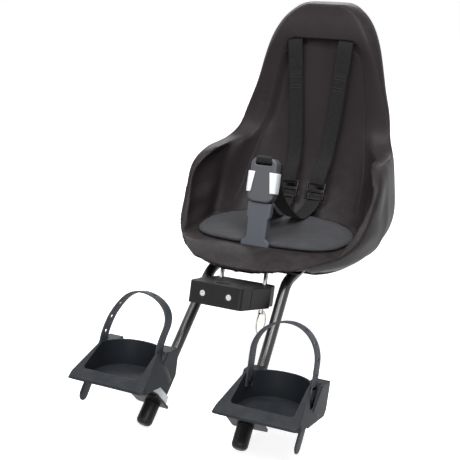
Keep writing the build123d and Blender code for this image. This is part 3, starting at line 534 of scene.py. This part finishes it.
def reshape(point, facing):
    """Where a point of the solid bucket lies on the real moulding, in millimetres."""
    x, y, z = point
    side = math.copysign(1.0, x)
    flank = ease(facing.x * side, 0.1, 0.6)
    tuck = tuck_depth * ease(y, 262, 335) * ease(z, -45, -5) * (1 - 0.75 * ease(z, 110, 210))
    swell = swell_depth * ease(y, 265, 215) * ease(z, 10, 40)
    low_face = ease(-facing.z, 0.0, 0.5) * ease(z, 2, -22)
    under = under_rise * low_face * ease(y, 90, 130) * (1 - 0.6 * ease(y, 180, 280))
    roll = lip_roll * ease(facing.z, 0.1, 0.6) * ease(y, 112, 44) * ease(z, 60, 30)
    x += side * (flank * (swell - tuck) + flare(x, y, z))
    z += front_lift(x, y) * ease(z, 130, 40) + under - roll
    return Vector((x, y, z))


print("the floor rises by", floor_rise, "mm and the lip by", lip_rise, "mm more")

# %% Round the bucket
bucket_cell, edge_rounds, wing_rounds = 0.0030, 7, 22
# Two zones above a height and outside a half width.
wing_zones = ((0.140, 0.055), (0.085, 0.115))


def on_wing(point):
    return any(point.z > low and abs(point.x) > half for low, half in wing_zones)


shell = even_copy("bucket_shell", "seat_shell", bucket_cell)
facings = [vertex.normal.copy() for vertex in shell.data.vertices]
for vertex, facing in zip(shell.data.vertices, facings):
    vertex.co = reshape(vertex.co / MM, facing) * MM
wings = shell.vertex_groups.new(name="wings")
wings.add([vertex.index for vertex in shell.data.vertices if on_wing(vertex.co)], 1.0, "REPLACE")
smooth(shell, edge_rounds)
smooth(shell, wing_rounds, "wings")
apply_modifiers(shell)
settle(shell, "seat", "shell_plastic", angle=80)
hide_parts("seat_shell")

# %% [markdown]
# ## Bracket plate and pins
# Under the front lip the pressed plate is cut back and keeps only a tongue over each plug-in pin, so
# daylight shows between the seat and the clamp. Three boxes are cut out of a copy of the plate, and its
# tongues are bent up to the raised lip. The pins and their wires grow by the same height along the line on
# which the seat lifts off, so they still fit their sockets.

# %% Helpers for cutting
AXIS_X, AXIS_Y = Vector((1, 0, 0)), Vector((0, 1, 0))


def cube(size, place):
    deselect()
    bpy.ops.mesh.primitive_cube_add(size=1, location=place)
    bpy.context.object.scale = size
    bpy.ops.object.transform_apply(location=True, rotation=True, scale=True)
    return bpy.context.object


def cut_with(piece, cutter):
    cut = piece.modifiers.new("cut", "BOOLEAN")
    cut.object, cut.operation = cutter, "DIFFERENCE"
    apply_modifiers(piece)
    bpy.data.objects.remove(cutter)


def split_across(piece, axis, places):
    """Cuts a mesh through at places along an axis, in millimetres, so that it can bend there."""
    for place in places:
        edit(piece, select_all, lambda: bpy.ops.mesh.bisect(plane_co=axis * (place * MM), plane_no=axis))


print("cutting helpers ready")

# %% Cut the bracket plate back
notches = ((0, 23), (70, 22), (-70, 22))  # the middle and the half width of each cut
notch_y, notch_z, notch_depth, notch_height = 0.0825, 0.0035, 0.027, 0.02
tongue_rise, tongue_root, tongue_tip = 11.0, 104, 82
lift_axis = Vector(joints[0]["axis"])
pin_growth = lift_axis * (tongue_rise / lift_axis.z) * MM

plate = copy_of(nodes["under_bracket"], "bracket_plate")
edit(plate, outward)
for middle, half in notches:
    cut_with(plate, cube((2 * half * MM, notch_depth, notch_height), (middle * MM, notch_y, notch_z)))
split_across(plate, AXIS_Y, range(tongue_tip, tongue_root + 4, 4))
for vertex in plate.data.vertices:
    vertex.co.z += tongue_rise * MM * ease(vertex.co.y / MM, tongue_root, tongue_tip)
settle(plate, "seat", slots["under_bracket"])
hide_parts("under_bracket")
for node in [kind + "_" + name for kind in ("fork_pin", "spring_wire") for name, _ in SIDES]:
    grown = copy_of(nodes[node], "grown_" + node)
    for vertex in grown.data.vertices:
        vertex.co += pin_growth * ease(vertex.co.z / MM, -10, 2)
    edit(grown, outward)
    settle(grown, "seat", slots[node])
    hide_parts(node)

# %% [markdown]
# ## Seat pad
# The pad is a loose sheet of soft foam with a rounded edge and a notch for the stalk. A flat slab looks
# hard, so a copy of the solid is remeshed finely, made thinner, and blown up a little with cloth pressure.
# Its underside is pinned where it lies on the bucket floor, and no point may move more than a few
# millimetres. The finished pad is raised with the floor below it.

# %% Inflate the seat pad
pad_cell, thinness, pinned_height, most_swell, swell_frames = 0.0040, 0.72, 0.0018, 0.0030, 20
foam = {"quality": 6, "mass": 0.2, "tension_stiffness": 12, "compression_stiffness": 12,
        "bending_stiffness": 0.8, "use_pressure": True, "uniform_pressure_force": 4,
        "vertex_group_mass": "resting"}
pad_low, pad_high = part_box("seat_pad")
pad = even_copy("seat_pad_cushion", "seat_pad", pad_cell)
for vertex in pad.data.vertices:
    vertex.co.z = pad_low.z + (vertex.co.z - pad_low.z) * thinness
resting = pad.vertex_groups.new(name="resting")
resting.add([v.index for v in pad.data.vertices if v.co.z < pad_low.z + pinned_height], 1.0, "REPLACE")
start_points = [v.co.copy() for v in pad.data.vertices]

swell = pad.modifiers.new("swell", "CLOTH")
for key, value in foam.items():
    setattr(swell.settings, key, value)
swell.settings.effector_weights.gravity = 0
swell.collision_settings.use_collision = False
for step in range(1, swell_frames + 1):
    bpy.context.scene.frame_set(step)
blown = pad.evaluated_get(bpy.context.evaluated_depsgraph_get())
swollen = [v.co.copy() for v in blown.data.vertices]
pad.modifiers.remove(swell)
bpy.context.scene.frame_set(1)
for vertex, start, end in zip(pad.data.vertices, start_points, swollen):
    step = end - start
    vertex.co = start + step * min(1.0, most_swell / max(step.length, 1e-9))
    vertex.co.z = min(max(vertex.co.z, pad_low.z), pad_high.z)
smooth(pad, 3)
fine = pad.modifiers.new("fine_skin", "SUBSURF")
fine.levels = fine.render_levels = 1
apply_modifiers(pad)
for vertex in pad.data.vertices:
    vertex.co.z += front_lift(vertex.co.x / MM, vertex.co.y / MM) * MM
settle(pad, "seat", "pad_foam", angle=60)
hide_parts("seat_pad")
print("pad height", round((max(v.co.z for v in pad.data.vertices) - pad_low.z) / MM, 2), "mm")

# %% [markdown]
# ## Harness webbing
# A webbing strap is a long grid laid along its route. The route's corners are softened, the grid's long way
# goes along it and the short way across, with a slight hollow so the strap doesn't look like sheet metal. A
# Solidify modifier gives the thickness and a small bevel rounds the selvedge.

# %% A strap laid along a route
corner_rounds, web_columns, web_step = 3, 8, 0.003


def soft_edge(piece, width, segments, angle=30):
    bevel = piece.modifiers.new("soft_edge", "BEVEL")
    bevel.width, bevel.segments, bevel.limit_method = width, segments, "ANGLE"
    bevel.angle_limit = math.radians(angle)


def thicken(piece, thickness, edge, segments, angle):
    """Gives a sheet its thickness, half to each side, and a bevelled edge."""
    thick = piece.modifiers.new("thickness", "SOLIDIFY")
    thick.thickness, thick.offset = thickness, 0.0
    soft_edge(piece, edge, segments, angle)


class Route:
    """A line with soft corners that gives the point and the direction at any share of its length."""

    def __init__(self, points):
        self.line = [Vector(point) for point in points]
        for _ in range(corner_rounds):
            cut = [self.line[0]]
            for first, second in zip(self.line, self.line[1:]):
                cut += [first.lerp(second, 0.25), first.lerp(second, 0.75)]
            self.line = cut + [self.line[-1]]
        self.reach = [0.0]
        for first, second in zip(self.line, self.line[1:]):
            self.reach.append(self.reach[-1] + (second - first).length)
        self.length = self.reach[-1]

    def at(self, share):
        goal = min(max(share, 0.0), 1.0) * self.length
        index = 0
        while index < len(self.line) - 2 and self.reach[index + 1] < goal:
            index += 1
        first, second = self.line[index], self.line[index + 1]
        span = max(self.reach[index + 1] - self.reach[index], 1e-9)
        return first.lerp(second, (goal - self.reach[index]) / span)

    def along(self, share):
        return (self.at(share + 0.006) - self.at(share - 0.006)).normalized()


def strap(name, points, across, width, thickness, hollow=0.0004):
    """Webbing of the seat along a route. Gives the piece and its route."""
    route = Route(points)
    across = Vector(across).normalized()
    deselect()
    bpy.ops.mesh.primitive_grid_add(x_subdivisions=web_columns, size=1,
                                    y_subdivisions=max(6, int(route.length / web_step)))
    web = bpy.context.object
    web.name = name
    laid = []
    for vertex in web.data.vertices:
        side, share = vertex.co.x, vertex.co.y + 0.5
        raised = across.cross(route.along(share)).normalized()
        laid.append((side * width, share * route.length))
        vertex.co = route.at(share) + across * side * width + raised * (hollow * (1 - 8 * side * side) / 2)
    uv = web.data.uv_layers.active or web.data.uv_layers.new()
    for loop in web.data.loops:
        uv.data[loop.index].uv = laid[loop.vertex_index]
    thicken(web, thickness, thickness * 0.3, 2, 60)
    apply_modifiers(web)
    settle(web, "seat", "webbing")
    return web, route


print("straps have", web_columns, "columns")

# %% [markdown]
# Each shoulder strap comes through its slot in the back, hangs down the bucket and ends in its adjuster. It
# is doubled: the tail that was pulled through the adjuster lies on the front of it. The loop strap goes on
# from the adjuster, lies on the pad and climbs to the back of the buckle.

# %% Shoulder straps and loop straps
web_width, web_thickness = 0.025, 0.0016
tail_web_width, tail_web_thickness = web_width - 0.0022, 0.0012
slot_across, slot_height = 44, 301
adjuster_across, adjuster_back, adjuster_height = 24, 316, 66
loop_start, loop_end, loop_end_across = 311.5, 170.8, 14
strap_lean = math.atan2(slot_across - adjuster_across, slot_height - adjuster_height)
loop_skew = math.atan2(adjuster_across - loop_end_across, loop_start - loop_end)
# The straps from the side, as (y, z).
shoulder_side = [(447, 301), (400, 301), (391, 310), (386, 306), (382.5, 285), (380, 217), (371, 165),
                 (355, 115), (331, 92), (320.5, 73.6)]
tail_side = [(379, 255), (376, 217), (367.2, 165), (351.5, 115), (329, 93.5), (319.6, 77.5)]
loop_side = [(loop_start, 58.4), (300.7, 40.2), (272.7, 34.6), (232, 34.2), (155, 106), (169, 150.7)]


def shoulder_points(side, line):
    spread = math.tan(strap_lean)
    return [Vector((side * (slot_across + (z - slot_height) * spread), y, z)) * MM for y, z in line]


def shoulder_across(side):
    return math.cos(strap_lean), 0, -side * math.sin(strap_lean)


def loop_point(side, y, z):
    return Vector((side * (loop_end_across + (y - loop_end) * math.tan(loop_skew)), y,
                   z + front_lift(20, y) * ease(z, 55, 36))) * MM


routes = {}
for name, side in SIDES:
    web, routes["shoulder_" + name] = strap("shoulder_webbing_" + name, shoulder_points(side, shoulder_side),
                                            shoulder_across(side), web_width, web_thickness)
    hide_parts("shoulder_strap_" + name)
    _, routes["tail_" + name] = strap("shoulder_tail_" + name, shoulder_points(side, tail_side),
                                      shoulder_across(side), tail_web_width, tail_web_thickness)
    loop_points = [loop_point(side, y, z) for y, z in loop_side]
    loop_across = (math.cos(loop_skew), -side * math.sin(loop_skew), 0)
    loop, routes["loop_" + name] = strap("loop_webbing_" + name, loop_points, loop_across,
                                         web_width, web_thickness)
    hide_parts("loop_strap_" + name)
for kind in ("shoulder", "loop"):
    print(kind, "strap", round(routes[kind + "_left"].length, 3), "m")

# %% [markdown]
# ## Buckle
# The stalk and the buckle's housing are remeshed copies of their solids with rounded edges. The stalk's
# foot follows the raised floor and the buckle sits a little lower. Pockets in the housing's sides leave
# room for the buttons to sink in when they are pressed. A short web goes over the top and into the slot.
# The two pale buttons wrap round the front corners: a profile is drawn once, pulled up along the buckle,
# narrowed at the foot and bevelled.

# %% Where the buckle stands
stalk_lean = math.radians(18)
stalk_root = Vector((0, 0.114, 0.021))
stalk_up = Vector((0, math.sin(stalk_lean), math.cos(stalk_lean)))
stalk_out = Vector((0, -math.cos(stalk_lean), math.sin(stalk_lean)))
stalk_height, foot_sink, buckle_drop = 84.0, 1.0, 6.0
buckle_low, buckle_length = 84.3 - buckle_drop, 68.0
buckle_top = buckle_low + buckle_length
button_low, button_length = buckle_low + 15.0, 31.0
press_travel = max(1000 * joint["range_m"][1] for joint in joints if joint["name"].startswith("buckle_press"))


def on_stalk(across, rise, out):
    return stalk_root + (Vector((across, 0, 0)) + stalk_up * rise + stalk_out * out) * MM


print("the buttons sink in by", press_travel, "mm")

# %% Stalk and buckle housing
moulding_cell = 0.0009
# Each pocket's inner wall with the button's travel still to come off, its back and its front.
pockets = ((19.2, -6.8, 10.2), (11.2, 10.0, 14.0))
pocket_outside, pocket_room = 27.0, 0.4


def moulded(name, node, rounds):
    """A remeshed copy of a node, with its edges rounded as a moulding's are."""
    made = even_copy(name, node, moulding_cell)
    smooth(made, rounds)
    apply_modifiers(made)
    return made


def cut_pocket(piece, side, inside, back, front):
    deselect()
    bpy.ops.mesh.primitive_cube_add(size=1)
    cutter = bpy.context.object
    low, high = button_low - pocket_room, button_low + button_length + pocket_room
    for vertex in cutter.data.vertices:
        across, rise, out = vertex.co + Vector((0.5, 0.5, 0.5))
        vertex.co = on_stalk(side * (inside + (pocket_outside - inside) * across), low + (high - low) * rise,
                             back + (front - back) * out)
    edit(cutter, outward)
    cut_with(piece, cutter)


stalk = moulded("moulded_stalk", "crotch_stalk", 4)
stalk_foot, stalk_head = front_lift(0, 114) / math.cos(stalk_lean) - foot_sink, stalk_height - buckle_drop
for vertex in stalk.data.vertices:
    rise = (vertex.co - stalk_root).dot(stalk_up) / MM
    vertex.co += stalk_up * (stalk_foot + rise * (stalk_head - stalk_foot) / stalk_height - rise) * MM
settle(stalk, "seat", "soft_grey_plastic", stalk_finish, angle=60)
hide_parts("crotch_stalk")
buckle = moulded("buckle_housing", "buckle_body", 3)
for vertex in buckle.data.vertices:
    vertex.co -= stalk_up * buckle_drop * MM
for _, side in SIDES:
    for inside, back, front in pockets:
        cut_pocket(buckle, side, inside - press_travel, back, front)
settle(buckle, "seat", "soft_grey_plastic", buckle_finish, angle=60)
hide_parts("buckle_body")

# %% Web over the buckle's top
slot_rise = buckle_top - 9.0
# The web's line up the back, over the top and into the slot, as (rise, out).
wrap_line = [(slot_rise - 16, -12.4), (slot_rise + 2, -12.2), (buckle_top + 1.3, -11.4),
             (buckle_top + 1.4, 0), (buckle_top + 1.3, 11.4), (slot_rise + 1.6, 11.6), (slot_rise + 0.4, 8),
             (slot_rise, -4)]
wrap_width, wrap_thickness, wrap_hollow = 0.0245, 0.0015, -0.0003
_, wrap_route = strap("buckle_web", [on_stalk(0, rise, out) for rise, out in wrap_line], (1, 0, 0),
                      wrap_width, wrap_thickness, wrap_hollow)
print("buckle web", round(wrap_route.length, 3), "m")

# %% Pale buttons that wrap the corners
button_profile = [(19.6, -6.2), (23.6, -6.2), (24.0, -5.2), (24.0, 7.0), (23.0, 9.6), (20.6, 11.5),
                  (12.0, 11.9), (11.4, 11.3), (11.6, 10.5), (19.4, 10.2), (21.6, 8.0), (21.5, -2.0)]
button_steps, front_out, corner_across, foot_narrowing = 6, 9, 20.6, 0.45


def pull_up():
    step = stalk_up * button_length * MM / button_steps
    bpy.ops.mesh.extrude_region_move(TRANSFORM_OT_translate={"value": step})


for name, side in SIDES:
    deselect()
    bpy.ops.mesh.primitive_circle_add(vertices=len(button_profile), radius=1, fill_type="NGON")
    cover = bpy.context.object
    cover.name = "buckle_button_cover_" + name
    for vertex, (across, out) in zip(cover.data.vertices, button_profile):
        vertex.co = on_stalk(side * across, button_low, out)
    edit(cover, select_all, *[pull_up] * button_steps)
    for vertex in cover.data.vertices:
        rise = (vertex.co - on_stalk(0, button_low, 0)).dot(stalk_up) / MM / button_length
        if (vertex.co - stalk_root).dot(stalk_out) / MM > front_out:
            inward = (abs(vertex.co.x) / MM - corner_across) * (foot_narrowing - foot_narrowing * rise)
            vertex.co.x -= side * min(inward, 0) * MM
    edit(cover, outward)
    soft_edge(cover, 0.0006, 3)
    apply_modifiers(cover)
    settle(cover, "button_" + name, "pale_plastic")
    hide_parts("buckle_button_" + name)

# %% [markdown]
# ## Strap adjusters
# A three-bar slide: a rounded frame, a thick middle bar with gripping ribs and a lip for the thumb at its
# lower edge. Each bar, rib and lip is a bevelled cube, and they are joined into one piece.

# %% Model one adjuster and copy it
adjuster_slope = math.radians(30.6)
adjuster_up = Vector((0, math.sin(adjuster_slope), math.cos(adjuster_slope)))
adjuster_out = Vector((0, -math.cos(adjuster_slope), math.sin(adjuster_slope)))


def block(size, place, edge):
    """A bevelled box, in millimetres."""
    made = cube(Vector(size) * MM, Vector(place) * MM)
    soft_edge(made, edge * MM, 3)
    apply_modifiers(made)
    return made


def join(name, pieces):
    deselect()
    for piece in pieces:
        piece.select_set(True)
    bpy.context.view_layer.objects.active = pieces[0]
    bpy.ops.object.join()
    pieces[0].name = name
    return pieces[0]


side_bars = [block((3.4, 5.6, 30), (side * 15.3, 0, 0), 1.4) for _, side in SIDES]
end_bars = [block((31, 3.4, 3.2), (0, 0.4, rise), 1.3) for rise in (13.4, -13.4)]
middle_bar = [block((31, 4.2, 6.5), (0, -1.0, 0), 1.6)]
ribs = [block((23, 1.2, 0.9), (0, -3.3, rise), 0.35) for rise in (-1.9, 0, 1.9)]
thumb_lip = [block((22, 2.4, 2.6), (0, -2.6, -14.2), 1.0)]
pattern = join("strap_slide", side_bars + end_bars + middle_bar + ribs + thumb_lip)
upright = Matrix((AXIS_X, -adjuster_out, adjuster_up)).transposed().to_4x4()
for name, side in SIDES:
    slide = copy_of(pattern, "strap_slide_" + name)
    middle = Vector((side * adjuster_across, adjuster_back, adjuster_height)) * MM
    slide.data.transform(Matrix.Translation(middle) @ upright)
    settle(slide, "seat", "black_plastic")
    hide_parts("strap_adjuster_" + name)
bpy.data.objects.remove(pattern)

# %% [markdown]
# ## Panel in the back of the bucket
# Inside the bucket a smooth panel stands a little proud of the back, with a crease all round it. A grid
# takes the panel's outline, is pressed onto the bucket's inside with Shrinkwrap, and gets thickness and a
# soft edge. Its foot is sunk into the bucket.

# %% Press the back panel onto the bucket
# The panel's half width at each height, as (z, x).
panel_outline = [(34, 112), (60, 108), (95, 105), (126, 99), (166, 91), (186, 89), (237, 80), (258, 77),
                 (275, 71), (285, 65), (291, 56), (294, 46)]
panel_foot, panel_head = panel_outline[0][0], panel_outline[-1][0]
press_from, crowding, sink_depth, sink_height, panel_thickness = 250, 1.5, 0.0035, 30, 0.0022

deselect()
bpy.ops.mesh.primitive_grid_add(x_subdivisions=44, y_subdivisions=72, size=1)
panel = bpy.context.object
panel.name = "back_panel"
for vertex in panel.data.vertices:
    share = vertex.co.y + 0.5
    z = panel_foot + (panel_head - panel_foot) * (1 - (1 - share) ** crowding)
    vertex.co = Vector((2 * vertex.co.x * read_line(panel_outline, z), press_from, z)) * MM
press = panel.modifiers.new("press", "SHRINKWRAP")
press.target = shell
press.wrap_method = "PROJECT"
press.use_project_y = True
press.use_positive_direction, press.use_negative_direction = True, False
apply_modifiers(panel)
for vertex in panel.data.vertices:
    vertex.co.y += sink_depth * ease(vertex.co.z / MM, panel_foot + sink_height, panel_foot)
smooth(panel, 4)
thicken(panel, panel_thickness, 0.0009, 3, 50)
apply_modifiers(panel)
settle(panel, "seat", "shell_plastic", angle=50)

# %% [markdown]
# ## Foot straps
# Each foot strap is a rubber strip with a row of triangular holes, buttoned over a stud on the outside of
# its tray. The strip is modelled flat, the holes are cut with triangular prisms, it is divided so that it
# can bend, and then it is laid along its arch. A slack strap leans back.

# %% The arch of a foot strap
tray_centre, rim_half, cup_half = 113.0, 47.5, 44.5
strip_width, strip_thickness, play = 20.0, 2.4, 0.4
strap_out = rim_half + play + strip_thickness / 2
strap_in = cup_half - play - strip_thickness / 2
arch_radius = (strap_out + strap_in) / 2
arch_straight, arch_root = 81.0 - arch_radius, 14.0
arch_middle = strap_out - arch_radius
strip_length = 2 * arch_straight + math.pi * arch_radius + arch_root
arch_lean = math.radians(20)
arch_up = Vector((0, math.sin(arch_lean), math.cos(arch_lean)))
arch_across = Vector((0, math.cos(arch_lean), -math.sin(arch_lean)))
arch_foot = Vector((0, -64, -82))
slack, slack_in, slack_drop = {1: 4.0, -1: 17.0}, 0.45, 0.25


def on_arch(travel, width_place, depth, side):
    """A point of the strip: its way along the arch from the outside, its place across, and its depth."""
    turn = min(max((travel - arch_straight) / arch_radius, 0), math.pi)
    reach = arch_radius + depth
    if turn < math.pi:
        level = min(travel, arch_straight)
    else:
        level = arch_straight - (travel - arch_straight - math.pi * arch_radius)
    rise = level + reach * math.sin(turn)
    flex = slack[side] * ease(rise, 5, 80)
    inward = slack_in * flex * math.cos(turn) ** 2
    across = side * (tray_centre + arch_middle + reach * math.cos(turn) - inward)
    place = arch_foot + arch_up * rise + arch_across * width_place
    return Vector((across, place.y + flex, place.z - slack_drop * flex)) * MM


print("foot strap", round(strip_length, 1), "mm long")

# %% Cut and bend the foot straps
strip_edge, strip_step = 0.5, 3.5
hole_start, hole_pitch, hole_count, hole_radius, prism_depth = 18, 21, 6, 5.4, 20
strip = block((strip_length, strip_width, strip_thickness), (strip_length / 2, 0, 0), strip_edge)
for index in range(hole_count):
    deselect()
    bpy.ops.mesh.primitive_cylinder_add(vertices=3, radius=hole_radius * MM, depth=prism_depth * MM,
                                        location=Vector((hole_start + hole_pitch * index, 0, 0)) * MM,
                                        rotation=(0, 0, math.pi / 2))
    bpy.ops.object.transform_apply(location=True, rotation=True, scale=True)
    cut_with(strip, bpy.context.object)
split_across(strip, AXIS_X, [strip_step * count for count in range(1, int(strip_length / strip_step) + 1)])
print("foot strap strip:", len(strip.data.polygons), "faces")

for name, side in SIDES:
    band = copy_of(strip, "foot_strap_band_" + name)
    for vertex in band.data.vertices:
        vertex.co = on_arch(vertex.co.x / MM, vertex.co.y / MM, vertex.co.z / MM, side)
    edit(band, outward)
    settle(band, "tray_" + name, "strap_rubber", angle=40)
bpy.data.objects.remove(strip)

# %% Tail of each foot strap
tail_lean = math.radians(46)
tail_length, tail_root, tip_start, tip_radius = 87.0, 6, 12, strip_width / 2
tail_along = Vector((0, -math.sin(tail_lean), -math.cos(tail_lean)))
tail_across = Vector((0, math.cos(tail_lean), -math.sin(tail_lean)))
tongue = block((tail_length + tail_root, strip_width, strip_thickness),
               ((tail_length + tail_root) / 2 - tail_root, 0, 0), strip_edge)
split_across(tongue, AXIS_Y, range(-9, 10, 2))
for vertex in tongue.data.vertices:
    along, across = vertex.co.x / MM, vertex.co.y / MM
    if along > tail_length - tip_start:
        vertex.co.x = (along - tip_radius + math.sqrt(max(0.0, tip_radius ** 2 - across * across))) * MM
for name, side in SIDES:
    end = copy_of(tongue, "foot_strap_tail_" + name)
    stud = arch_foot + AXIS_X * (side * (tray_centre + strap_out))
    for vertex in end.data.vertices:
        along, across, depth = vertex.co / MM
        vertex.co = (stud + tail_along * along + tail_across * across + AXIS_X * (side * depth)) * MM
    edit(end, outward)
    settle(end, "tray_" + name, "strap_rubber", angle=40)
    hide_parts("foot_strap_" + name)
bpy.data.objects.remove(tongue)

# %% [markdown]
# ## Stitching
# The doubled straps are sewn with rows of thick thread. One stitch is a short six-sided capsule; it is
# copied along short lines over the webbing, so the rows stand up from the strap as real thread does.

# %% Sew the straps
row_shares, row_width, row_lift, row_stitches = (0.03, 0.055, 0.13, 0.155), 0.019, 0.0008, 6
thread_radius, stitch_length, flatness = 0.00035, 0.0024, 0.9
deselect()
bpy.ops.mesh.primitive_cylinder_add(vertices=6, radius=thread_radius, depth=stitch_length,
                                    rotation=(0, math.pi / 2, 0))
thread = bpy.context.object
bpy.ops.object.transform_apply(location=True, rotation=True, scale=True)
for vertex in thread.data.vertices:
    vertex.co.y *= flatness
soft_edge(thread, 0.0003, 2)
apply_modifiers(thread)


def stitch(point, way, high):
    """One stitch at a point, along a way, with its upper side to high."""
    high = (high - way * high.dot(way)).normalized()
    piece = copy_of(thread, "stitch")
    turn = Matrix((way, high.cross(way), high)).transposed().to_4x4()
    piece.data.transform(Matrix.Translation(point) @ turn)
    return piece


def sew_row(route, across, share, lift):
    """A row of stitches across a strap at one share of its route."""
    facing = across.cross(route.along(share)).normalized()
    places = [(index + 0.5) / row_stitches - 0.5 for index in range(row_stitches)]
    return [stitch(route.at(share) + across * place * row_width + facing * lift, across.normalized(), facing)
            for place in places]


for name, side in SIDES:
    across = Vector(shoulder_across(side)).normalized()
    stitches = []
    for share in row_shares:
        for lift in (-row_lift, row_lift):
            stitches += sew_row(routes["tail_" + name], across, share, lift)
    settle(join("shoulder_stitching_" + name, stitches), "seat", "webbing", thread_finish)
bpy.data.objects.remove(thread)
